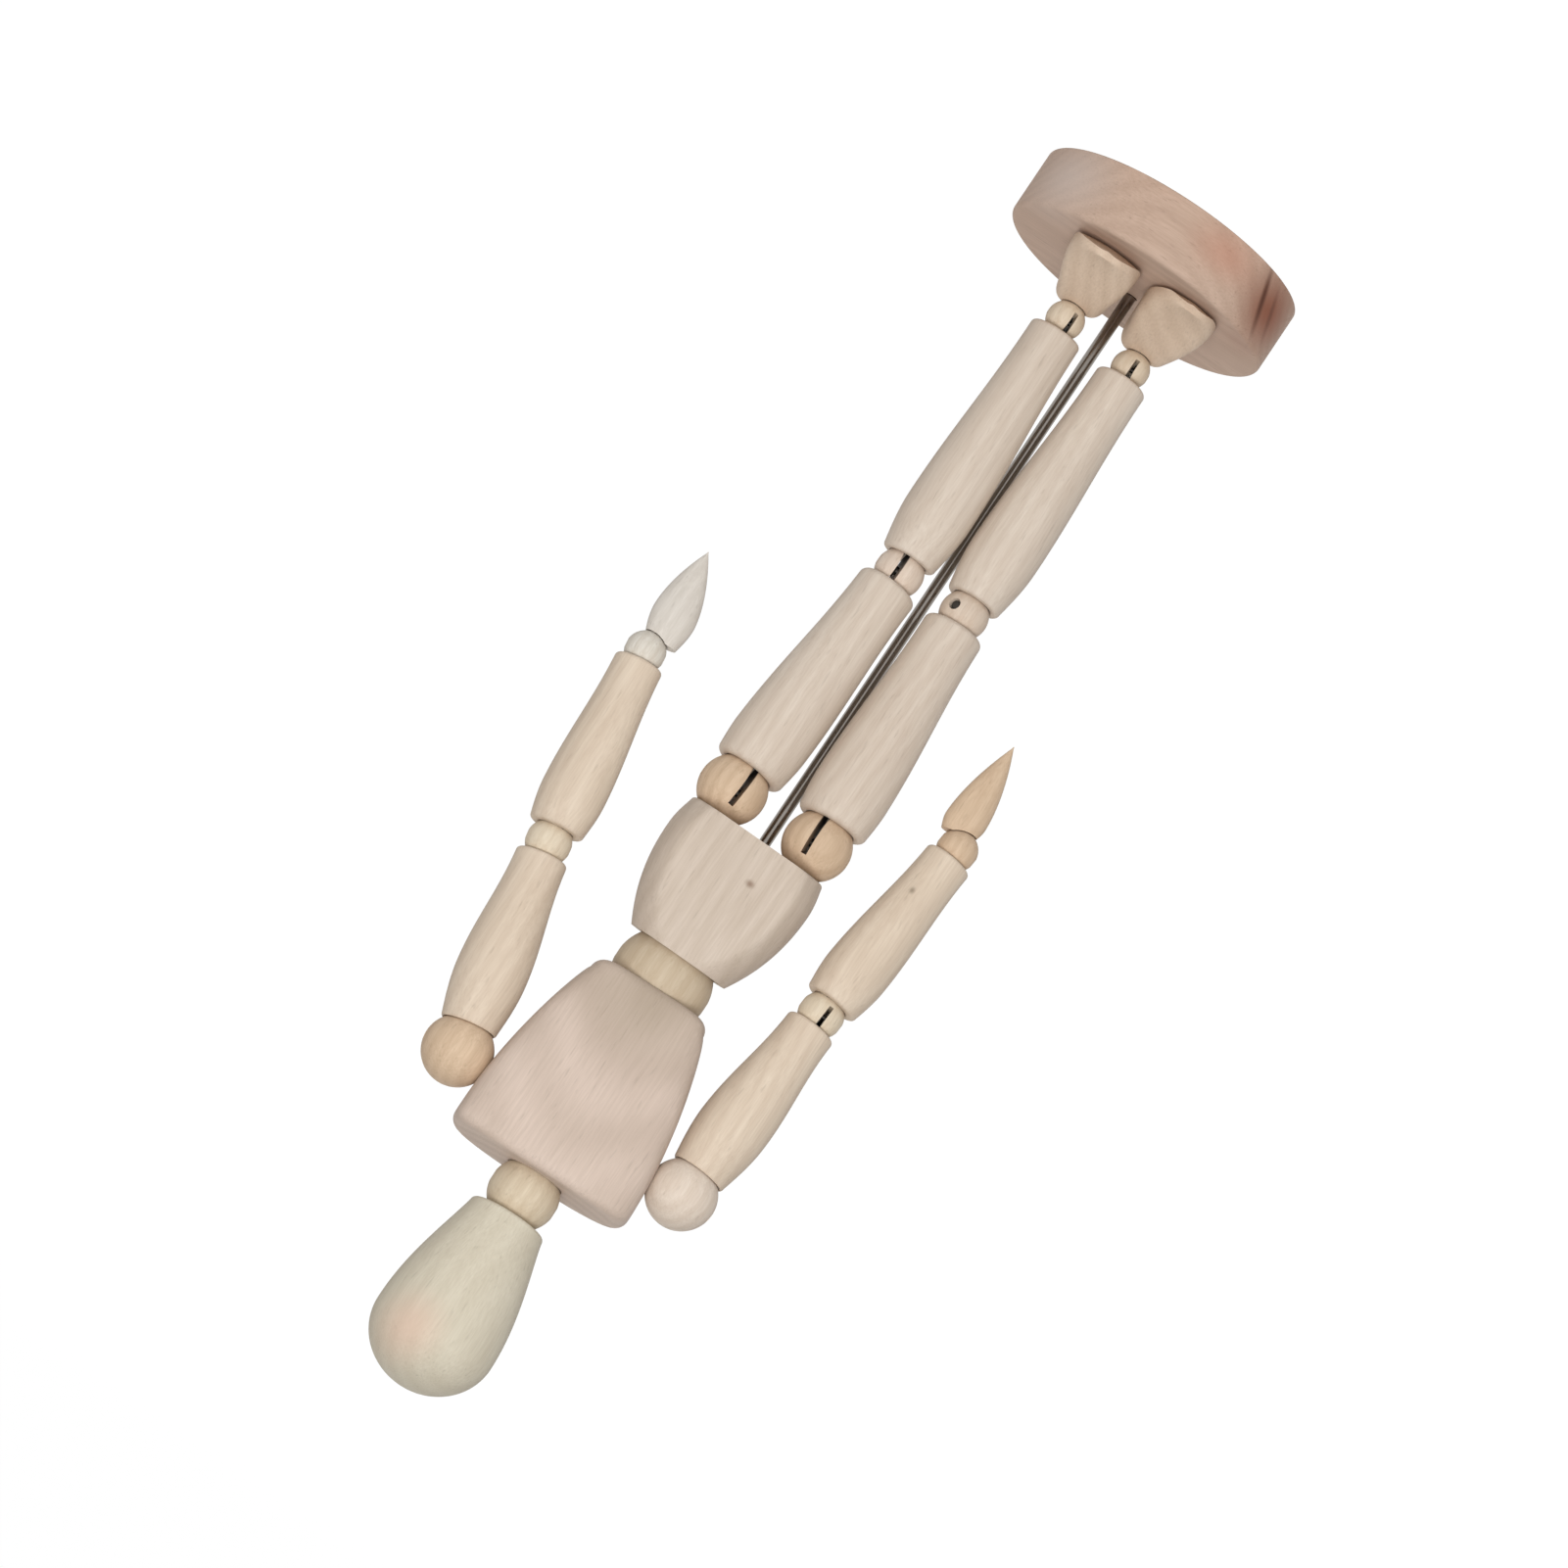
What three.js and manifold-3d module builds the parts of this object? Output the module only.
// Wooden artist's mannequin on a round base: turned limbs, balls with pins, and springs that hold them.
// Millimetres, +Z up. The origin is the middle of the base's underside, and the figure faces -Y.
// Left and right are the figure's own, so its left side lies at +X.

import * as THREE from 'three';
import { mergeVertices } from 'three/addons/utils/BufferGeometryUtils.js';
import Module from 'manifold-3d';

const wasm = await Module();
wasm.setup();

// Fits
const FIT = 0.3; // gap between pieces that seat on each other or pass through each other
const OVERRUN = 1; // how far a cutting tool runs past the surface it opens

// Facets
const LIMB_SIDES = 12;
const BIG_BALL_SIDES = 14;
const BIG_BALL_RINGS = 9;
const SMALL_BALL_SIDES = 10;
const SMALL_BALL_RINGS = 7;
const TORSO_SIDES = 18;
const HEAD_SIDES = 12;
const BASE_SIDES = 22;
const HOLE_SIDES = 8;
const PIN_SIDES = 6;
const WIRE_SIDES = 3;
const HOOK_STEPS = 4;
const COIL_STEPS = 5;
const COIL_TURNS = 3;

// Base and support rod
const BASE_DIAMETER = 62.6;
const BASE_HEIGHT = 15;
const BASE_TOP_EDGE = 1.1;
const BASE_FOOT_EDGE = 0.4;
const ROD_DIAMETER = 2.7;
const ROD_BEHIND_CENTRE = 5;
const ROD_IN_BASE = 11;
const ROD_IN_PELVIS = 20;

// Where the figure stands over the base
const FIGURE_FORWARD = 2.5; // leg axes in front of the base's middle
const FIGURE_SIDE = 1.2; // pelvis to the left of the rod
const SOLE_LIFT = 0.6; // soles above the base
const PELVIS_LEAN = 1.2; // degrees from the hips to the waist, to the figure's left
const TORSO_LEAN = 1.1; // degrees from the waist up, to the figure's right

// Balls: diameter, and how deep each sinks into the piece above, below or beside it
const HIP_BALL = 15.2;
const HIP_SINK_IN_PELVIS = 1.5;
const HIP_SINK_IN_THIGH = 2.4;
const KNEE_BALL = 10.8;
const KNEE_SINK = 2.05;
const ANKLE_BALL = 8.5;
const ANKLE_SINK = 0.95;
const WAIST_BALL = 22;
const WAIST_SINK_IN_PELVIS = 4.8;
const WAIST_SINK_IN_CHEST = 7;
const NECK_BALL = 15.4;
const NECK_SINK_IN_CHEST = 3.2;
const NECK_SINK_IN_HEAD = 1.9;
const SHOULDER_BALL = 15.5;
const SHOULDER_SINK_IN_CHEST = 1.3;
const SHOULDER_SINK_IN_ARM = 2.35;
const ELBOW_BALL = 10;
const ELBOW_SINK = 1.8;
const WRIST_BALL = 9;
const WRIST_SINK_IN_FOREARM = 1.9;
const WRIST_SINK_IN_HAND = 1.5;

// Pins, wire and saw kerfs
const BIG_PIN = 2;
const SMALL_PIN = 1.4;
const PIN_RECESS = 0.6; // pin end below the ball's surface
const PIN_COVER = 1.2; // wood left in front of a shoulder pin
const WIRE = 0.6;
const KERF = 1.3;
const LANE = 0.85; // each hook's distance from the middle of its pin
const WIDE_LANE = 1.2; // the same on the waist and knee pins
const COIL_DIAMETER = 3.2; // middle of the wire
const BORE = 5.4; // inside the limbs and the torso
const COIL_SHARE = 0.4; // part of a spring's length that is wound
const HOOK_SWING = 28; // degrees a hook may swing in its pocket
const HOOK_TIP = -100; // degrees round the pin where a hook starts
const HOOK_END = 90; // and where its stem leaves
const KNEE_KERF_ABOVE = 3.6; // the left knee's kerf runs this far above its pin
const HIP_KERF_ABOVE = 4.2; // and the hips' kerfs this far
const ANKLE_KERF_BELOW = 0.9; // the ankles' kerfs run this far below their pins

// Legs
const HIP_HALF_SPACING = 10.7;
const LEG_TURN = 7.5; // hinge planes turned so that a leg swings back clear of the rod
const THIGH_SPAN = 59.3;
const THIGH_TOP = 16.2;
const THIGH_BULGE = 17.6;
const THIGH_BULGE_AT = 14;
const THIGH_BOTTOM = 13.6;
const THIGH_EDGE = 1.5;
const SHIN_SPAN = 65.5;
const SHIN_TOP = 12.6;
const SHIN_BULGE = 15.3;
const SHIN_BULGE_AT = 16;
const SHIN_BOTTOM = 11.9;
const SHIN_EDGE = 0.9;

// Feet
const ANKLE_ABOVE_SOLE = 14.2;
const HEEL_WIDTH = 12.8;
const TOE_WIDTH = 16.4;
const TOE_REACH = 24; // ankle to the tip of the toe
const HEEL_REACH = 6.4; // ankle to the back of the heel
const TOE_THICKNESS = 3.2;
const TOE_FLARE_AT = 12; // ankle to the widest part
const TOE_BLUNTNESS = 0.12; // width left at the tip of the toe, as a share
const FOOT_SIDE_POWER = 0.45; // roundness of the foot's section: less is boxier
const FOOT_TOP_POWER = 0.6;
const SOLE_FLAT = 6.5; // ankle to where the sole starts to roll up towards the toe
const HEEL_FLAT = 3.2; // ankle to where the sole starts to rise towards the heel
const HEEL_RISE = 1.3;

// Pelvis, chest and head
const PELVIS_HEIGHT = 30.2;
const PELVIS_TOP = 23.8;
const PELVIS_WIDEST = 35.5;
const PELVIS_WIDEST_AT = 7.5; // above the underside
const PELVIS_BOTTOM = 33.4;
const PELVIS_SIDE_POWER = 2.2;
const PELVIS_FRONT = 11.4; // sanded flat this far in front of and behind the middle
const PELVIS_SLOPE = 10; // degrees that its top and underside rise towards the front
const PELVIS_EDGE = 0.9;
const CHEST_HEIGHT = 45.8;
const CHEST_TOP_WIDTH = 42.8;
const CHEST_WAIST_WIDTH = 28;
const CHEST_TOP_DEPTH = 23;
const CHEST_WAIST_DEPTH = 24.4;
const CHEST_EDGE = 2.6;
const CHEST_FRONT_POWER = 0.42; // roundness of the section: 1 is an ellipse, less is boxier
const CHEST_BACK_POWER = 0.85;
const CHEST_SIDE_POWER = 0.8;
const SHOULDER_BELOW_TOP = 13.7;
const CROSS_BORE = 4.6; // between the shoulders
const SHOULDER_HOLE_BACK = 1.2; // the cross bore lies behind the chest's middle
const CHEST_BORE_FRONT = 3.8; // the upright bore lies in front of it
const HEAD_HEIGHT = 42;
const HEAD_WIDEST = 28;
const HEAD_WIDEST_BELOW_TOP = 13;
const HEAD_BOTTOM = 17.6;
const HEAD_EDGE = 1;
const HEAD_CHEEK_POWER = 1.1;
const EYE_SHANK = 6; // how far a screw eye goes into the head or foot

// Arms and hands
const UPPER_ARM_SPAN = 48.5;
const UPPER_ARM_TOP = 12.6;
const UPPER_ARM_BULGE = 15.5;
const UPPER_ARM_BULGE_AT = 18;
const UPPER_ARM_BOTTOM = 11.4;
const FOREARM_SPAN = 46;
const FOREARM_TOP = 12.4;
const FOREARM_BULGE = 14.2;
const FOREARM_BULGE_AT = 12;
const FOREARM_BOTTOM = 10.8;
const ARM_EDGE = 0.9;
const HAND_LENGTH = 22.5;
const HAND_WIDTH = 10.3;
const HAND_THICKNESS = 6.6;
const HAND_TOP = 7.4;
const HAND_WIDEST_AT = 7;
const HAND_TIP_POWER = 1.7;
const HAND_BEND = 1.2; // how far the middle of the hand bows towards the body
const TENON = 2.2;
const TENON_LENGTH = 2.2;

// Rest pose, degrees: lean of each piece away from the middle, the shins' pitch backwards, and the turn of
// the feet and one knee ball
const POSE = {
  left: {
    thigh: -3.6,
    shin: 0.8,
    shinBack: -2.2,
    foot: 1,
    kneeBall: 0,
    upperArm: 9.1,
    forearm: 5.9,
    hand: 3.3,
  },
  right: {
    thigh: -1.3,
    shin: 0.1,
    shinBack: 1.8,
    foot: 9,
    kneeBall: -63,
    upperArm: 5.2,
    forearm: 6.9,
    hand: -5.8,
  },
};
const SIDES = { left: 1, right: -1 };

const rad = THREE.MathUtils.degToRad;
const deg = THREE.MathUtils.radToDeg;

// Materials
const wood = (color) => new THREE.MeshStandardMaterial({ color, roughness: 0.75, metalness: 0 });
const WOOD = {
  limb: wood('#d3bfae'),
  ball: wood('#cdb697'),
  tan: wood('#cba985'),
  pale: wood('#cfc7b2'),
  base: wood('#b89a83'),
};
const STEEL = new THREE.MeshStandardMaterial({ color: '#8d8781', roughness: 0.3, metalness: 1 });

// Solids

// A closed geometry as a solid with its faces outward.
function solid(geometry) {
  const bare = geometry.clone();
  bare.deleteAttribute('normal');
  bare.deleteAttribute('uv');
  const merged = mergeVertices(bare, 1e-4);
  const at = merged.attributes.position;
  const corners = [0, 1, 2].map(() => new THREE.Vector3());
  const faces = [];
  let volume = 0;
  for (let i = 0; i < merged.index.count; i += 3) {
    const face = [0, 1, 2].map((k) => merged.index.getX(i + k));
    if (new Set(face).size < 3) continue;
    corners.forEach((corner, k) => corner.fromBufferAttribute(at, face[k]));
    volume += corners[0].dot(corners[1].clone().cross(corners[2]));
    faces.push(face);
  }
  const triVerts = new Uint32Array(faces.flatMap((face) => (volume < 0 ? face.reverse() : face)));
  const vertProperties = new Float32Array(at.array);
  return new wasm.Manifold(new wasm.Mesh({ numProp: 3, vertProperties, triVerts }));
}

// A solid as a geometry for a mesh.
function shell(body) {
  const mesh = body.getMesh();
  const geometry = new THREE.BufferGeometry();
  geometry.setAttribute('position', new THREE.BufferAttribute(new Float32Array(mesh.vertProperties), 3));
  geometry.setIndex(new THREE.BufferAttribute(new Uint32Array(mesh.triVerts), 1));
  geometry.computeVertexNormals();
  return geometry;
}

function piece(parent, name, body, material) {
  const mesh = new THREE.Mesh(shell(body), material);
  mesh.name = name;
  parent.add(mesh);
}

function frame(parent, x = 0, y = 0, z = 0) {
  const group = new THREE.Group();
  group.position.set(x, y, z);
  parent.add(group);
  return group;
}

// Shapes

// A profile of [radius, height] turned about the Z axis.
function turned(profile, sides) {
  const points = profile.map(([r, z]) => new THREE.Vector2(r, z));
  return solid(new THREE.LatheGeometry(points, sides).rotateX(Math.PI / 2));
}

function sphere(radius, sides, rings) {
  return solid(new THREE.SphereGeometry(radius, sides, rings).rotateX(Math.PI / 2));
}

// A ball's hollow: its facets clear the ball by FIT.
function hollow(diameter, sides, rings) {
  const slack = Math.cos(Math.PI / sides) * Math.cos(Math.PI / (2 * rings));
  return sphere((diameter / 2 + FIT) / slack, sides, rings);
}

const bigHollow = (diameter) => hollow(diameter, BIG_BALL_SIDES, BIG_BALL_RINGS);
const smallHollow = (diameter) => hollow(diameter, SMALL_BALL_SIDES, SMALL_BALL_RINGS);

function box(x, y, z) {
  return solid(new THREE.BoxGeometry(x, y, z));
}

// A round bar along Z between two heights.
function bar(diameter, low, high, sides = HOLE_SIDES) {
  const cylinder = new THREE.CylinderGeometry(diameter / 2, diameter / 2, high - low, sides);
  return solid(cylinder.rotateX(Math.PI / 2).translate(0, 0, (low + high) / 2));
}

// Rings of equal numbers of points joined into one closed skin, with a flat cap at each end.
function loft(rings) {
  const count = rings[0].length;
  const points = rings.flat();
  const index = [];
  for (let r = 0; r + 1 < rings.length; r += 1) {
    for (let k = 0; k < count; k += 1) {
      const a = r * count + k;
      const b = r * count + ((k + 1) % count);
      index.push(a, b, b + count, a, b + count, a + count);
    }
  }
  const last = (rings.length - 1) * count;
  for (let k = 1; k + 1 < count; k += 1) {
    index.push(0, k + 1, k);
    index.push(last, last + k, last + k + 1);
  }
  const geometry = new THREE.BufferGeometry().setFromPoints(points);
  geometry.setIndex(index);
  return solid(geometry);
}

// Points of a quarter-round edge from angle a to angle b, degrees, about [r, z].
function arc(r, z, radius, a, b, steps) {
  return Array.from({ length: steps + 1 }, (_, i) => {
    const angle = rad(a + ((b - a) * i) / steps);
    return [r + radius * Math.cos(angle), z + radius * Math.sin(angle)];
  });
}

const easeDown = (u) => 0.5 + 0.5 * Math.cos(Math.PI * u);
const mix = (a, b, u) => a + (b - a) * u;

// Height of a cup's rim from the middle of its ball.
const seat = (ball, sink) => ball / 2 - sink;

// A turned limb from the ball at the origin down to the ball at -span, with a cup at each end and a bore.
function limb({ span, topBall, topSink, bottomBall, bottomSink, top, bulge, bulgeAt, bottom, edge }) {
  const slack = 1 / Math.cos(Math.PI / LIMB_SIDES);
  const bore = BORE / 2;
  const cup = (ball, sink) => {
    const radius = (ball / 2 + FIT) * slack;
    return { radius, lip: seat(ball, sink), deep: Math.sqrt(radius ** 2 - bore ** 2) };
  };
  const upper = cup(topBall, topSink);
  const lower = cup(bottomBall, bottomSink);
  const swell = 3;
  const taper = 4;
  const start = -upper.lip - edge;
  const end = -span + lower.lip + edge;
  const side = [];
  for (let i = 1; i <= swell; i += 1) {
    const u = i / swell;
    side.push([mix(top, bulge, Math.sin((u * Math.PI) / 2)) / 2, mix(start, -bulgeAt, u)]);
  }
  for (let i = 1; i < taper; i += 1) {
    const u = i / taper;
    side.push([mix(bottom, bulge, easeDown(u)) / 2, mix(-bulgeAt, end, u)]);
  }
  const cupArc = (middle, { radius, lip, deep }, way) => {
    const from = Math.asin(lip / radius);
    const to = Math.asin(deep / radius);
    return [0, 0.5, 1].map((u) => {
      const angle = mix(from, to, u);
      return [radius * Math.cos(angle), middle + way * radius * Math.sin(angle)];
    });
  };
  const profile = [
    ...cupArc(0, upper, -1).reverse(),
    ...arc(top / 2 - edge, start, edge, 90, 0, 2),
    ...side,
    ...arc(bottom / 2 - edge, end, edge, 0, -90, 2),
    ...cupArc(-span, lower, 1),
  ];
  return turned([...profile, profile[0]], LIMB_SIDES);
}

// Balls

const hookReach = (pin) => pin / 2 + FIT + WIRE;

// A drilled ball with its pin along X. An opening lets a hook in to the pin from above (way 1) or below
// (way -1), turned by slant about Y and by roll about the pin. A kerf is sawn right through, a pocket is as
// deep as the hook swings, and a slot just takes the hook. cover is wood left over the pin's -X end.
function ball({ diameter, pin, openings, big, cover }) {
  const radius = diameter / 2;
  const reach = hookReach(pin);
  const stem = Math.sqrt(radius ** 2 - reach ** 2);
  const swing = 2 * (stem * Math.sin(rad(HOOK_SWING)) + reach * Math.cos(rad(HOOK_SWING)));
  const depths = { kerf: diameter + 2 * OVERRUN, pocket: swing, slot: 2 * (reach + FIT) };
  let body = big
    ? sphere(radius, BIG_BALL_SIDES, BIG_BALL_RINGS)
    : sphere(radius, SMALL_BALL_SIDES, SMALL_BALL_RINGS);
  for (const opening of openings) {
    const { way, lane, cut, width = KERF, past = reach + FIT, slant = 0, roll = 0 } = opening;
    const height = radius + OVERRUN + past;
    const tool = box(width, depths[cut], height).translate([lane, 0, way * (height / 2 - past)]);
    body = body.subtract(tool.rotate([roll, slant, 0]));
  }
  const hole = bar(pin + 2 * FIT, cover ? cover - radius : -radius - OVERRUN, radius + OVERRUN);
  return body.subtract(hole.rotate([0, 90, 0]));
}

function pinOf({ diameter, pin, cover = 0 }) {
  const radius = diameter / 2;
  const low = Math.max(PIN_RECESS, cover + FIT) - radius;
  return bar(pin, low, radius - PIN_RECESS, PIN_SIDES).rotate([0, 90, 0]);
}

// Wire

// A route through chosen points, sampled at those points.
class WireRoute extends THREE.Curve {
  constructor(points) {
    super();
    this.points = points;
  }

  getPoint(t, target = new THREE.Vector3()) {
    const last = this.points.length - 1;
    const i = Math.min(Math.floor(t * last), last - 1);
    return target.lerpVectors(this.points[i], this.points[i + 1], t * last - i);
  }

  getPointAt(u, target) {
    return this.getPoint(u, target);
  }

  getTangentAt(u, target) {
    return this.getTangent(u, target);
  }

  getSpacedPoints(divisions) {
    return this.getPoints(divisions);
  }
}

function wire(points) {
  const section = new THREE.Shape(
    Array.from({ length: WIRE_SIDES }, (_, k) => {
      const angle = (2 * Math.PI * (k + 0.5)) / WIRE_SIDES;
      return new THREE.Vector2((WIRE / 2) * Math.cos(angle), (WIRE / 2) * Math.sin(angle));
    }),
  );
  const extrudePath = new WireRoute(points);
  const options = { steps: points.length - 1, bevelEnabled: false, extrudePath };
  return solid(new THREE.ExtrudeGeometry(section, options));
}

// A hook bent round a pin at height z, from its tip to where the wire leaves its ball, way -1 downwards.
// turn is the pin's angle from X, lane the place along the pin, side the face where the wire leaves.
function hook({ z, way, pin, lane = 0, turn = 0, side = 1, stem }) {
  const radius = pin / 2 + FIT + WIRE / 2;
  const points = Array.from({ length: HOOK_STEPS + 1 }, (_, i) => {
    const angle = rad(mix(HOOK_TIP, HOOK_END, i / HOOK_STEPS));
    return new THREE.Vector3(lane, side * radius * Math.sin(angle), -way * radius * Math.cos(angle));
  });
  if (stem) points.push(new THREE.Vector3(lane, side * radius, way * stem));
  const upright = new THREE.Vector3(0, 0, 1);
  return points.map((point) => point.applyAxisAngle(upright, rad(turn)).addScaledVector(upright, z));
}

// A tension spring from the pin at the origin down to the pin at -span, wound in the middle of its length.
function spring({ span, upper, lower, shift = 0 }) {
  const radius = COIL_DIAMETER / 2;
  const count = COIL_TURNS * COIL_STEPS;
  const coil = Array.from({ length: count + 1 }, (_, i) => {
    const angle = (2 * Math.PI * i) / COIL_STEPS;
    const z = -span * (0.5 - COIL_SHARE / 2 + (COIL_SHARE * i) / count);
    return new THREE.Vector3(radius * Math.sin(angle), shift + radius * Math.cos(angle), z);
  });
  return wire([
    ...hook({ z: 0, way: -1, ...upper }),
    ...coil,
    ...hook({ z: -span, way: 1, ...lower }).reverse(),
  ]);
}

// A screw eye: a hook on the pin at the origin and a straight shank of the given reach, way 1 upwards.
function screwEye({ pin, reach, way, lane }) {
  const bend = hookReach(pin) + WIRE;
  const shank = [bend, reach].map((z) => new THREE.Vector3(0, 0, way * z));
  return wire([...hook({ z: 0, way, pin, lane }), ...shank]);
}

// Pieces

function baseDisc() {
  const radius = BASE_DIAMETER / 2;
  const disc = turned(
    [
      [0, 0],
      ...arc(radius - BASE_FOOT_EDGE, BASE_FOOT_EDGE, BASE_FOOT_EDGE, -90, 0, 1),
      ...arc(radius - BASE_TOP_EDGE, BASE_HEIGHT - BASE_TOP_EDGE, BASE_TOP_EDGE, 0, 90, 2),
      [0, BASE_HEIGHT],
    ],
    BASE_SIDES,
  );
  const hole = bar(ROD_DIAMETER + 2 * FIT, BASE_HEIGHT - ROD_IN_BASE - FIT, BASE_HEIGHT + OVERRUN);
  return disc.subtract(hole.translate([0, ROD_BEHIND_CENTRE, 0]));
}

// The pelvis is turned like a barrel, then sanded flat in front and behind. Its top and underside slope,
// and its middle is at the origin.
function pelvisBody() {
  const swell = 3;
  const taper = 5;
  const side = [];
  for (let i = 0; i <= swell; i += 1) {
    const u = i / swell;
    const radius = mix(PELVIS_BOTTOM, PELVIS_WIDEST, Math.sin((u * Math.PI) / 2)) / 2;
    side.push([radius, mix(PELVIS_EDGE, PELVIS_WIDEST_AT, u)]);
  }
  for (let i = 1; i <= taper; i += 1) {
    const u = i / taper;
    const radius = mix(PELVIS_WIDEST, PELVIS_TOP, u ** PELVIS_SIDE_POWER) / 2;
    side.push([radius, mix(PELVIS_WIDEST_AT, PELVIS_HEIGHT, u)]);
  }
  const edge = arc(PELVIS_BOTTOM / 2 - PELVIS_EDGE, PELVIS_EDGE, PELVIS_EDGE, -90, -30, 2);
  const barrel = turned([[0, 0], ...edge, ...side, [0, PELVIS_HEIGHT]], TORSO_SIDES);
  const slab = box(2 * PELVIS_WIDEST, 2 * PELVIS_FRONT, 2 * PELVIS_HEIGHT);
  const block = barrel.translate([0, 0, -PELVIS_HEIGHT / 2]).intersect(slab);
  return block.warp((point) => {
    point[2] -= point[1] * Math.tan(rad(PELVIS_SLOPE));
  });
}

// The chest tapers to the waist, with a flat front and a round back. Its underside is at height 0.
function chestBody() {
  const ring = (width, depth, z) =>
    Array.from({ length: TORSO_SIDES }, (_, k) => {
      const angle = (2 * Math.PI * (k + 0.5)) / TORSO_SIDES;
      const power = Math.sin(angle) < 0 ? CHEST_FRONT_POWER : CHEST_BACK_POWER;
      const round = (value) => (Math.sign(value) * Math.abs(value) ** power) / 2;
      return new THREE.Vector3(width * round(Math.cos(angle)), depth * round(Math.sin(angle)), z);
    });
  const rise = 6;
  const rings = [];
  for (let i = 0; i <= 2; i += 1) {
    const inset = CHEST_EDGE * (1 - Math.sin((i * Math.PI) / 4));
    const z = CHEST_EDGE * (1 - Math.cos((i * Math.PI) / 4));
    rings.push(ring(CHEST_WAIST_WIDTH - 2 * inset, CHEST_WAIST_DEPTH - inset, z));
  }
  for (let i = 1; i <= rise; i += 1) {
    const u = i / rise;
    const width = mix(CHEST_WAIST_WIDTH, CHEST_TOP_WIDTH, Math.sin((u * Math.PI) / 2) ** CHEST_SIDE_POWER);
    const z = mix(CHEST_EDGE, CHEST_HEIGHT - CHEST_EDGE, u);
    rings.push(ring(width, mix(CHEST_WAIST_DEPTH, CHEST_TOP_DEPTH, u), z));
  }
  for (let i = 1; i <= 3; i += 1) {
    const inset = CHEST_EDGE * (1 - Math.cos((i * Math.PI) / 6));
    const z = CHEST_HEIGHT - CHEST_EDGE * (1 - Math.sin((i * Math.PI) / 6));
    rings.push(ring(CHEST_TOP_WIDTH - 2 * inset, CHEST_TOP_DEPTH - 2 * inset, z));
  }
  return loft(rings);
}

// The egg-shaped head, with its flat underside at height 0.
function headBody() {
  const widest = HEAD_HEIGHT - HEAD_WIDEST_BELOW_TOP;
  const profile = [[0, 0], ...arc(HEAD_BOTTOM / 2 - HEAD_EDGE, HEAD_EDGE, HEAD_EDGE, -90, 0, 2)];
  const rise = 4;
  for (let i = 1; i <= rise; i += 1) {
    const u = i / rise;
    const swell = Math.sin((u * Math.PI) / 2) ** HEAD_CHEEK_POWER;
    profile.push([mix(HEAD_BOTTOM, HEAD_WIDEST, swell) / 2, mix(HEAD_EDGE, widest, u)]);
  }
  const dome = 5;
  for (let i = 1; i < dome; i += 1) {
    const angle = (i / dome) * (Math.PI / 2);
    profile.push([(HEAD_WIDEST / 2) * Math.cos(angle), widest + HEAD_WIDEST_BELOW_TOP * Math.sin(angle)]);
  }
  return turned([...profile, [0, HEAD_HEIGHT]], HEAD_SIDES);
}

// A hand under the wrist at the origin: a flat leaf with a tenon that goes up into the ball.
function handBody(s) {
  const top = -seat(WRIST_BALL, WRIST_SINK_IN_HAND);
  const tip = top - HAND_LENGTH;
  const widest = top - HAND_WIDEST_AT;
  const steps = 3;
  const profile = [[0, top]];
  for (let i = 0; i <= steps; i += 1) {
    const u = i / steps;
    profile.push([mix(HAND_TOP, HAND_WIDTH, Math.sin((u * Math.PI) / 2)) / 2, mix(top, widest, u)]);
  }
  for (let i = 1; i < 2 * steps; i += 1) {
    const u = i / (2 * steps);
    profile.push([(HAND_WIDTH / 2) * (1 - u ** HAND_TIP_POWER), mix(widest, tip, u)]);
  }
  const flat = turned([...profile, [0, tip]], LIMB_SIDES).scale([1, HAND_THICKNESS / HAND_WIDTH, 1]);
  const leaf = flat.warp((point) => {
    point[0] -= s * HAND_BEND * Math.sin((Math.PI * (top - point[2])) / HAND_LENGTH);
  });
  const tenonTop = TENON_LENGTH - WRIST_BALL / 2;
  return leaf.subtract(smallHollow(WRIST_BALL)).add(bar(TENON, widest, tenonTop));
}

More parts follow.
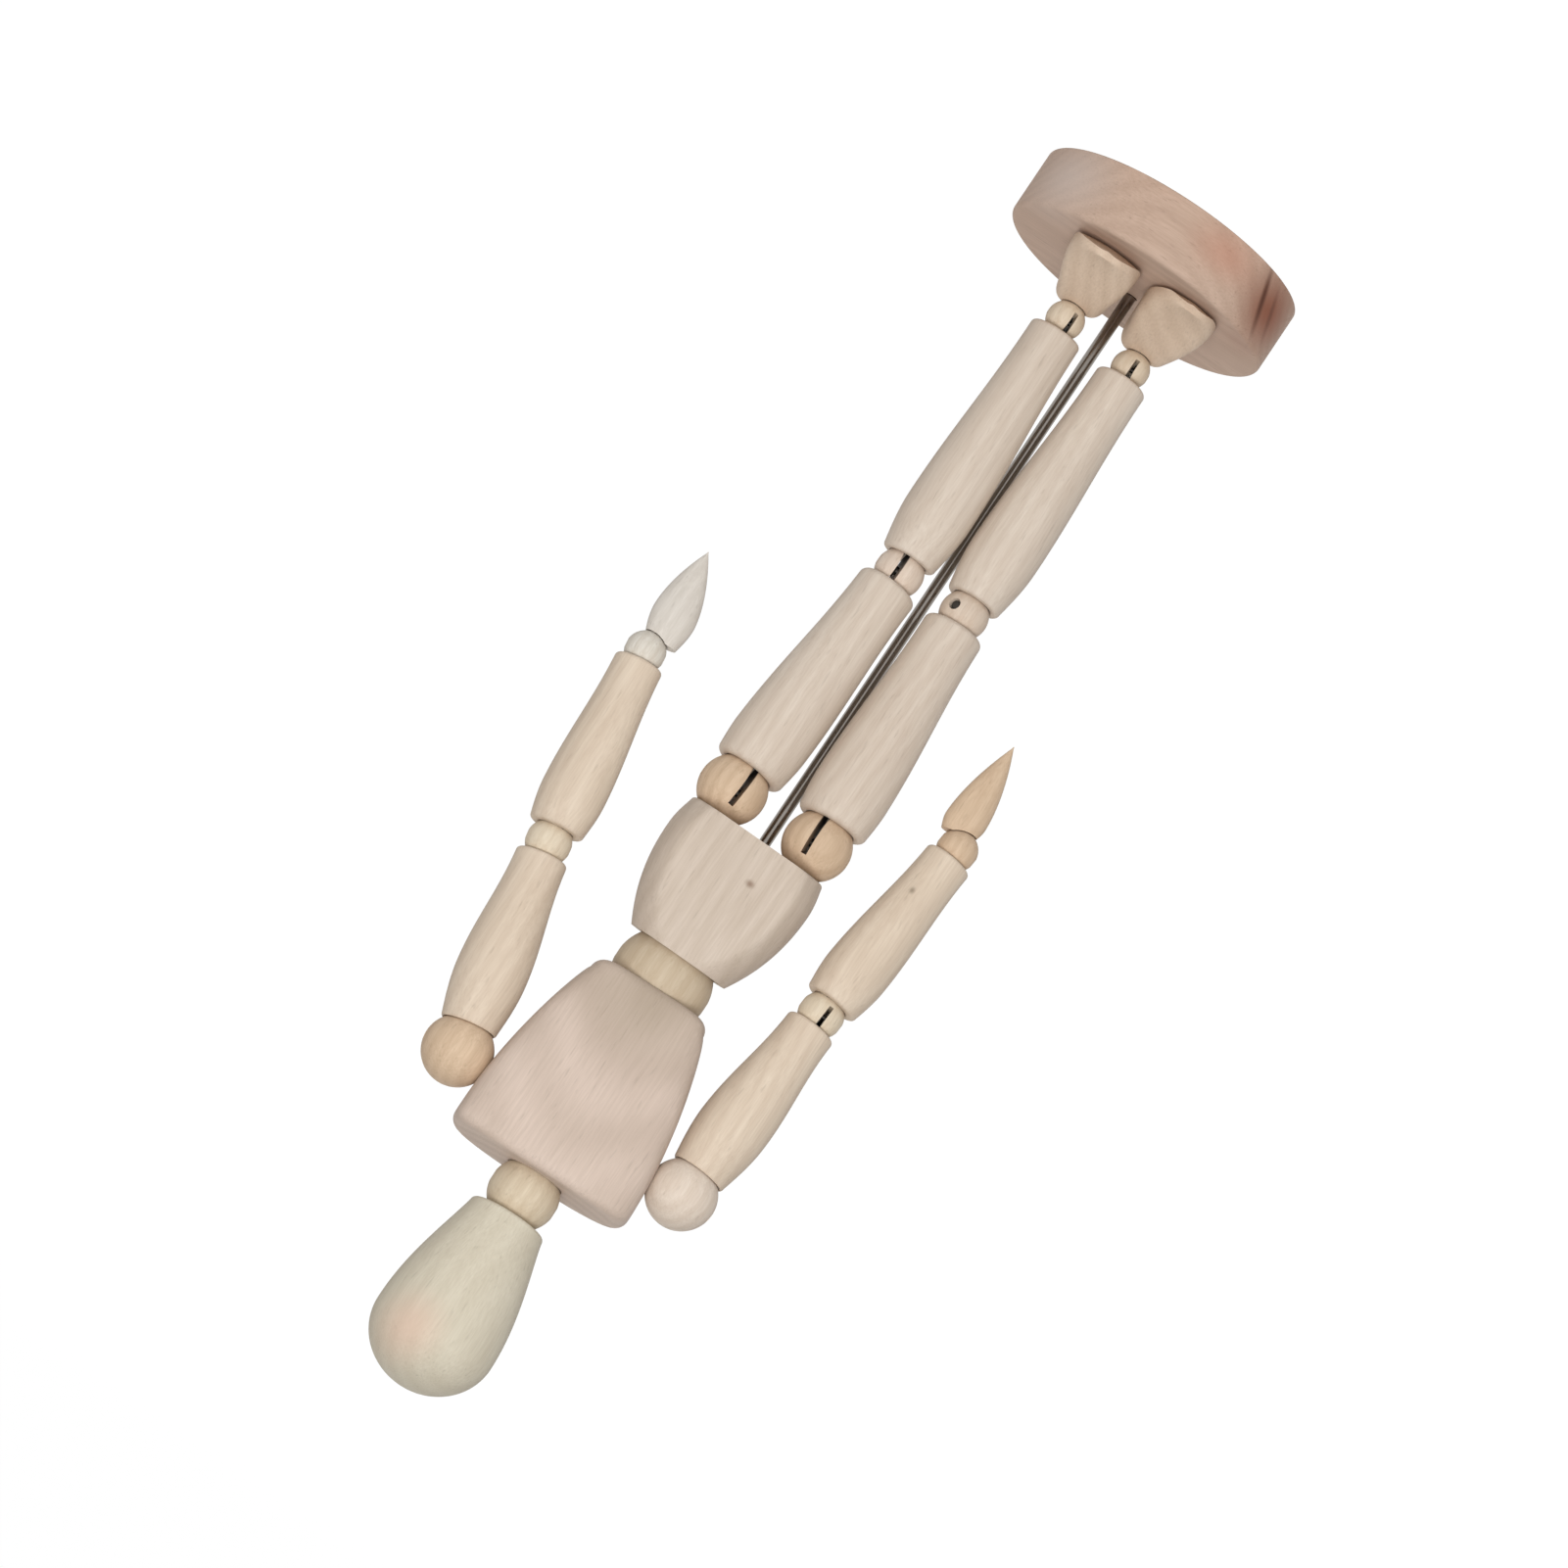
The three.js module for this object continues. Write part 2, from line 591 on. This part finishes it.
// A foot under the ankle at the origin: a round heel that slopes down to a broad toe, facing -Y. Its sole
// rolls up at the toe, so that it clears the base as the knee bends. It stands ahead of the knee by ahead.
function footBody(ahead) {
  const sole = -ANKLE_ABOVE_SOLE;
  const rim = -seat(ANKLE_BALL, ANKLE_SINK);
  const roll = 2 * (SHIN_SPAN + ANKLE_ABOVE_SOLE);
  const stations = 7;
  const steps = 4;
  const rings = [];
  for (let i = 0; i <= stations; i += 1) {
    const along = 0.5 - 0.5 * Math.cos(Math.PI * mix(0.04, 0.97, i / stations));
    const y = mix(HEEL_REACH, -TOE_REACH, along);
    const front = Math.max(0, -y);
    const behind = Math.max(0, y);
    const nose = Math.sqrt(1 - Math.max(0, (front - TOE_FLARE_AT) / (TOE_REACH - TOE_FLARE_AT)) ** 2);
    const heel = Math.sqrt(1 - (behind / HEEL_REACH) ** 2);
    const flare = THREE.MathUtils.smoothstep(front, 0, TOE_FLARE_AT);
    const half = (mix(HEEL_WIDTH, TOE_WIDTH, flare) * mix(TOE_BLUNTNESS, 1, nose) * heel) / 2;
    const low = Math.max(
      0,
      ((front + ahead) ** 2 - SOLE_FLAT ** 2) / roll,
      HEEL_RISE * Math.max(0, (behind - HEEL_FLAT) / (HEEL_REACH - HEEL_FLAT)),
    );
    const fall = THREE.MathUtils.smoothstep(front, 0, TOE_REACH);
    const high = low + mix(rim - sole - low, TOE_THICKNESS * mix(0.5, 1, nose), fall) * mix(0.5, 1, heel);
    const skin = [[half * 0.5, low], [half * 0.92, low]];
    for (let k = 0; k <= steps; k += 1) {
      const angle = rad(mix(8, 84, k / steps));
      const rise = Math.sin(angle) ** FOOT_TOP_POWER;
      skin.push([half * Math.cos(angle) ** FOOT_SIDE_POWER, mix(low, high, rise)]);
    }
    const mirrored = skin.map(([x, z]) => [-x, z]).reverse();
    rings.push([...skin, ...mirrored].map(([x, z]) => new THREE.Vector3(x, y, sole + z)));
  }
  const shank = bar(WIRE + 2 * FIT, -ANKLE_BALL / 2 - EYE_SHANK - FIT, 0);
  return loft(rings).subtract(smallHollow(ANKLE_BALL)).subtract(shank);
}

// Heights up the figure
const shinDrop = (pose) => SHIN_SPAN * Math.cos(rad(pose.shin)) * Math.cos(rad(pose.shinBack));
const legLength = (pose) => shinDrop(pose) + THIGH_SPAN * Math.cos(rad(pose.thigh));
const HIP_HEIGHT =
  BASE_HEIGHT + SOLE_LIFT + ANKLE_ABOVE_SOLE + Math.max(legLength(POSE.left), legLength(POSE.right));
const PELVIS_ABOVE_HIP = seat(HIP_BALL, HIP_SINK_IN_PELVIS);
const HIP_TO_WAIST = PELVIS_ABOVE_HIP + PELVIS_HEIGHT + seat(WAIST_BALL, WAIST_SINK_IN_PELVIS);
const WAIST_ABOVE_HIP = HIP_TO_WAIST * Math.cos(rad(PELVIS_LEAN));
const WAIST_ASIDE = HIP_TO_WAIST * Math.sin(rad(PELVIS_LEAN));
const CHEST_ABOVE_WAIST = seat(WAIST_BALL, WAIST_SINK_IN_CHEST);
const NECK_ABOVE_CHEST = CHEST_HEIGHT + seat(NECK_BALL, NECK_SINK_IN_CHEST);
const HEAD_ABOVE_NECK = seat(NECK_BALL, NECK_SINK_IN_HEAD);
const SHOULDER_ABOVE_CHEST = CHEST_HEIGHT - SHOULDER_BELOW_TOP;
const SHOULDER_HALF_SPACING = CHEST_TOP_WIDTH / 2 + seat(SHOULDER_BALL, SHOULDER_SINK_IN_CHEST);
const hipSlant = (s) => deg(Math.atan2(WAIST_ASIDE - s * HIP_HALF_SPACING, WAIST_ABOVE_HIP));
const ROD_BEHIND_FIGURE = ROD_BEHIND_CENTRE + FIGURE_FORWARD;

const eyeOpening = { cut: 'slot', width: LANE + WIRE + 2 * FIT };

function addBall(parent, name, options, material) {
  piece(parent, name.ball, ball(options), material);
  piece(parent, name.pin, pinOf(options), STEEL);
}

const world = new THREE.Group();
piece(world, 'base', baseDisc(), WOOD.base);

const figure = frame(world, FIGURE_SIDE, -FIGURE_FORWARD, HIP_HEIGHT);
const rodFoot = BASE_HEIGHT - ROD_IN_BASE - HIP_HEIGHT;
const rod = bar(ROD_DIAMETER, rodFoot, PELVIS_ABOVE_HIP + ROD_IN_PELVIS);
piece(figure, 'support_rod', rod.translate([-FIGURE_SIDE, ROD_BEHIND_FIGURE, 0]), STEEL);

// Pelvis
const rodHole = bar(ROD_DIAMETER + 2 * FIT, 0, PELVIS_ABOVE_HIP + ROD_IN_PELVIS + FIT);
let pelvisWood = pelvisBody()
  .translate([0, 0, PELVIS_ABOVE_HIP + PELVIS_HEIGHT / 2])
  .rotate([0, PELVIS_LEAN, 0])
  .subtract(bigHollow(WAIST_BALL).translate([WAIST_ASIDE, 0, WAIST_ABOVE_HIP]))
  .subtract(rodHole.translate([-FIGURE_SIDE, ROD_BEHIND_FIGURE, 0]));
for (const s of Object.values(SIDES)) {
  const bore = bar(BORE, -HIP_TO_WAIST, 0).rotate([0, hipSlant(s), 0]);
  pelvisWood = pelvisWood
    .subtract(bigHollow(HIP_BALL).translate([s * HIP_HALF_SPACING, 0, 0]))
    .subtract(bore.translate([WAIST_ASIDE, 0, WAIST_ABOVE_HIP]));
}
piece(figure, 'pelvis', pelvisWood, WOOD.pale);

// Waist
const waist = frame(figure, WAIST_ASIDE, 0, WAIST_ABOVE_HIP);
const waistOpenings = [{ way: 1, lane: 0, cut: 'pocket' }];
for (const s of Object.values(SIDES)) {
  waistOpenings.push({ way: -1, lane: s * WIDE_LANE, cut: 'pocket', slant: hipSlant(s) });
}
addBall(
  waist,
  { ball: 'waist_ball', pin: 'waist_pin' },
  { diameter: WAIST_BALL, pin: BIG_PIN, openings: waistOpenings, big: true },
  WOOD.ball,
);

// Chest
const torso = frame(waist);
torso.rotation.y = -rad(TORSO_LEAN);
const chest = frame(torso, 0, 0, CHEST_ABOVE_WAIST);
const crossBore = bar(CROSS_BORE, -SHOULDER_HALF_SPACING, SHOULDER_HALF_SPACING).rotate([0, 90, 0]);
let chestWood = chestBody()
  .subtract(bigHollow(WAIST_BALL).translate([0, 0, -CHEST_ABOVE_WAIST]))
  .subtract(bigHollow(NECK_BALL).translate([0, 0, NECK_ABOVE_CHEST]))
  .subtract(bar(BORE, 0, CHEST_HEIGHT).translate([0, -CHEST_BORE_FRONT, 0]))
  .subtract(crossBore.translate([0, SHOULDER_HOLE_BACK, SHOULDER_ABOVE_CHEST]));
for (const s of Object.values(SIDES)) {
  const cup = bigHollow(SHOULDER_BALL).translate([s * SHOULDER_HALF_SPACING, 0, SHOULDER_ABOVE_CHEST]);
  chestWood = chestWood.subtract(cup);
}
piece(chest, 'chest', chestWood, WOOD.limb);

// Neck and head
const neck = frame(chest, 0, 0, NECK_ABOVE_CHEST);
const neckOpenings = [
  { way: -1, lane: LANE, cut: 'pocket' },
  { way: 1, lane: -LANE / 2, ...eyeOpening },
];
addBall(
  neck,
  { ball: 'neck_ball', pin: 'neck_pin' },
  { diameter: NECK_BALL, pin: BIG_PIN, openings: neckOpenings, big: true },
  WOOD.ball,
);
const headReach = NECK_BALL / 2 + EYE_SHANK;
piece(neck, 'head_eye', screwEye({ pin: BIG_PIN, reach: headReach, way: 1, lane: -LANE }), STEEL);
const headWood = headBody()
  .translate([0, 0, HEAD_ABOVE_NECK])
  .subtract(bigHollow(NECK_BALL))
  .subtract(bar(WIRE + 2 * FIT, 0, headReach + FIT));
piece(neck, 'head', headWood, WOOD.pale);

// Springs in the torso
const chestHooks = { pin: BIG_PIN, side: -1 };
const chestSpring = spring({
  span: CHEST_ABOVE_WAIST + NECK_ABOVE_CHEST,
  upper: { ...chestHooks, lane: LANE, stem: NECK_BALL / 2 },
  lower: { ...chestHooks, lane: 0, stem: WAIST_BALL / 2 },
  shift: -CHEST_BORE_FRONT,
});
piece(neck, 'chest_spring', chestSpring, STEEL);
const shoulders = frame(chest, -SHOULDER_HALF_SPACING, 0, SHOULDER_ABOVE_CHEST);
const shoulderHook = { pin: BIG_PIN, lane: LANE, turn: 90, stem: SHOULDER_BALL / 2 };
const shoulderSpring = spring({
  span: 2 * SHOULDER_HALF_SPACING,
  upper: shoulderHook,
  lower: shoulderHook,
  shift: SHOULDER_HOLE_BACK,
});
piece(shoulders, 'shoulder_spring', shoulderSpring.rotate([0, -90, 0]), STEEL);

// Legs and arms
for (const [side, s] of Object.entries(SIDES)) {
  const pose = POSE[side];
  const lean = (degrees) => -s * rad(degrees);
  const names = (joint) => ({ ball: `${joint}_ball_${side}`, pin: `${joint}_pin_${side}` });

  const hip = frame(figure, s * HIP_HALF_SPACING);
  hip.rotation.z = -s * rad(LEG_TURN);
  const hipOpenings = [
    { way: -1, lane: -s * LANE, cut: 'kerf', past: HIP_KERF_ABOVE, slant: -s * pose.thigh },
    { way: 1, lane: s * LANE, cut: 'slot', slant: hipSlant(s) },
  ];
  const hipBall = { diameter: HIP_BALL, pin: BIG_PIN, openings: hipOpenings, big: true };
  addBall(hip, names('hip'), hipBall, WOOD.tan);
  const hipSpring = spring({
    span: WAIST_ABOVE_HIP / Math.cos(rad(hipSlant(s))),
    upper: { pin: BIG_PIN, lane: s * WIDE_LANE, stem: WAIST_BALL / 2 },
    lower: { pin: BIG_PIN, lane: s * LANE, turn: -s * LEG_TURN, stem: HIP_BALL / 2 },
  });
  piece(waist, `hip_spring_${side}`, hipSpring.rotate([0, hipSlant(s), 0]), STEEL);

  const thigh = frame(hip);
  thigh.rotation.y = lean(pose.thigh);
  const thighWood = limb({
    span: THIGH_SPAN,
    topBall: HIP_BALL,
    topSink: HIP_SINK_IN_THIGH,
    bottomBall: KNEE_BALL,
    bottomSink: KNEE_SINK,
    top: THIGH_TOP,
    bulge: THIGH_BULGE,
    bulgeAt: THIGH_BULGE_AT,
    bottom: THIGH_BOTTOM,
    edge: THIGH_EDGE,
  });
  piece(thigh, `thigh_${side}`, thighWood, WOOD.limb);
  const kneeHook = { pin: BIG_PIN, turn: pose.kneeBall, stem: KNEE_BALL / 2 };
  const thighSpring = spring({
    span: THIGH_SPAN,
    upper: { pin: BIG_PIN, lane: -s * LANE, stem: HIP_BALL / 2 },
    lower: { ...kneeHook, lane: -s * WIDE_LANE },
  });
  piece(thigh, `thigh_spring_${side}`, thighSpring, STEEL);

  const knee = frame(thigh, 0, 0, -THIGH_SPAN);
  knee.rotation.y = -lean(pose.thigh);
  const kneeTurn = frame(knee);
  kneeTurn.rotation.z = rad(pose.kneeBall);
  const kneeCut = pose.kneeBall === 0 ? { cut: 'kerf', past: KNEE_KERF_ABOVE } : { cut: 'pocket' };
  const kneeOpenings = [
    { way: -1, lane: s * WIDE_LANE, ...kneeCut },
    { way: 1, lane: -s * WIDE_LANE, cut: 'pocket', slant: -s * pose.thigh },
  ];
  const kneeBall = { diameter: KNEE_BALL, pin: BIG_PIN, openings: kneeOpenings };
  addBall(kneeTurn, names('knee'), kneeBall, WOOD.ball);

  const shin = frame(knee);
  shin.rotation.set(rad(pose.shinBack), lean(pose.shin), 0);
  const shinWood = limb({
    span: SHIN_SPAN,
    topBall: KNEE_BALL,
    topSink: KNEE_SINK,
    bottomBall: ANKLE_BALL,
    bottomSink: ANKLE_SINK,
    top: SHIN_TOP,
    bulge: SHIN_BULGE,
    bulgeAt: SHIN_BULGE_AT,
    bottom: SHIN_BOTTOM,
    edge: SHIN_EDGE,
  });
  piece(shin, `shin_${side}`, shinWood, WOOD.limb);
  const shinSpring = spring({
    span: SHIN_SPAN,
    upper: { ...kneeHook, lane: s * WIDE_LANE },
    lower: { pin: SMALL_PIN, lane: -LANE, stem: ANKLE_BALL / 2 },
  });
  piece(shin, `shin_spring_${side}`, shinSpring, STEEL);

  const ankle = frame(shin, 0, 0, -SHIN_SPAN);
  ankle.rotation.set(-rad(pose.shinBack), -lean(pose.shin), 0, 'YXZ');
  const ankleOpenings = [
    { way: 1, lane: -LANE, cut: 'kerf', past: ANKLE_KERF_BELOW },
    { way: 1, lane: -LANE, cut: 'slot' },
    { way: -1, lane: LANE / 2, ...eyeOpening },
  ];
  const ankleBall = { diameter: ANKLE_BALL, pin: SMALL_PIN, openings: ankleOpenings };
  addBall(ankle, names('ankle'), ankleBall, WOOD.ball);
  const footReach = ANKLE_BALL / 2 + EYE_SHANK;
  const footEye = screwEye({ pin: SMALL_PIN, reach: footReach, way: -1, lane: LANE });
  piece(ankle, `foot_eye_${side}`, footEye, STEEL);
  const foot = frame(ankle);
  foot.rotation.z = s * rad(LEG_TURN + pose.foot);
  const ahead = -SHIN_SPAN * Math.sin(rad(pose.shinBack));
  piece(foot, `foot_${side}`, footBody(ahead), WOOD.limb);

  const shoulder = frame(chest, s * SHOULDER_HALF_SPACING, 0, SHOULDER_ABOVE_CHEST);
  const shoulderPin = frame(shoulder);
  shoulderPin.rotation.z = Math.PI / 2;
  const shoulderOpenings = [
    { way: -1, lane: -LANE, cut: 'kerf' },
    { way: 1, lane: LANE, cut: 'slot', roll: -s * 90 },
  ];
  addBall(
    shoulderPin,
    names('shoulder'),
    { diameter: SHOULDER_BALL, pin: BIG_PIN, openings: shoulderOpenings, big: true, cover: PIN_COVER },
    side === 'left' ? WOOD.tan : WOOD.ball,
  );

  const upperArm = frame(shoulder);
  upperArm.rotation.y = lean(pose.upperArm);
  const upperArmWood = limb({
    span: UPPER_ARM_SPAN,
    topBall: SHOULDER_BALL,
    topSink: SHOULDER_SINK_IN_ARM,
    bottomBall: ELBOW_BALL,
    bottomSink: ELBOW_SINK,
    top: UPPER_ARM_TOP,
    bulge: UPPER_ARM_BULGE,
    bulgeAt: UPPER_ARM_BULGE_AT,
    bottom: UPPER_ARM_BOTTOM,
    edge: ARM_EDGE,
  });
  piece(upperArm, `upper_arm_${side}`, upperArmWood, WOOD.limb);
  const upperArmSpring = spring({
    span: UPPER_ARM_SPAN,
    upper: { pin: BIG_PIN, lane: -LANE, turn: 90, stem: SHOULDER_BALL / 2 },
    lower: { pin: SMALL_PIN, lane: s * LANE, stem: ELBOW_BALL / 2 },
  });
  piece(upperArm, `upper_arm_spring_${side}`, upperArmSpring, STEEL);

  const elbow = frame(upperArm, 0, 0, -UPPER_ARM_SPAN);
  const elbowOpenings = [
    { way: 1, lane: s * LANE, cut: side === 'right' ? 'kerf' : 'pocket' },
    { way: -1, lane: -s * LANE, cut: 'pocket', slant: -s * (pose.forearm - pose.upperArm) },
  ];
  const elbowBall = { diameter: ELBOW_BALL, pin: SMALL_PIN, openings: elbowOpenings };
  addBall(elbow, names('elbow'), elbowBall, WOOD.ball);

  const forearm = frame(elbow);
  forearm.rotation.y = lean(pose.forearm - pose.upperArm);
  const forearmWood = limb({
    span: FOREARM_SPAN,
    topBall: ELBOW_BALL,
    topSink: ELBOW_SINK,
    bottomBall: WRIST_BALL,
    bottomSink: WRIST_SINK_IN_FOREARM,
    top: FOREARM_TOP,
    bulge: FOREARM_BULGE,
    bulgeAt: FOREARM_BULGE_AT,
    bottom: FOREARM_BOTTOM,
    edge: ARM_EDGE,
  });
  piece(forearm, `forearm_${side}`, forearmWood, WOOD.limb);
  const forearmSpring = spring({
    span: FOREARM_SPAN,
    upper: { pin: SMALL_PIN, lane: -s * LANE, stem: ELBOW_BALL / 2 },
    lower: { pin: SMALL_PIN, lane: s * LANE, stem: WRIST_BALL / 2 },
  });
  piece(forearm, `forearm_spring_${side}`, forearmSpring, STEEL);

  const wrist = frame(forearm, 0, 0, -FOREARM_SPAN);
  const handLean = lean(pose.hand - pose.forearm);
  const tenonHole = bar(TENON + 2 * FIT, -WRIST_BALL / 2 - OVERRUN, TENON_LENGTH + FIT - WRIST_BALL / 2);
  const wristOpening = { way: 1, lane: s * LANE, cut: 'pocket' };
  const wristBall = ball({ diameter: WRIST_BALL, pin: SMALL_PIN, openings: [wristOpening] });
  const tenonTurn = [0, THREE.MathUtils.radToDeg(handLean), 0];
  piece(wrist, `wrist_ball_${side}`, wristBall.subtract(tenonHole.rotate(tenonTurn)), WOOD.tan);
  piece(wrist, `wrist_pin_${side}`, pinOf({ diameter: WRIST_BALL, pin: SMALL_PIN }), STEEL);
  const hand = frame(wrist);
  hand.rotation.y = handLean;
  piece(hand, `hand_${side}`, handBody(s), side === 'left' ? WOOD.pale : WOOD.tan);
}

export default world;
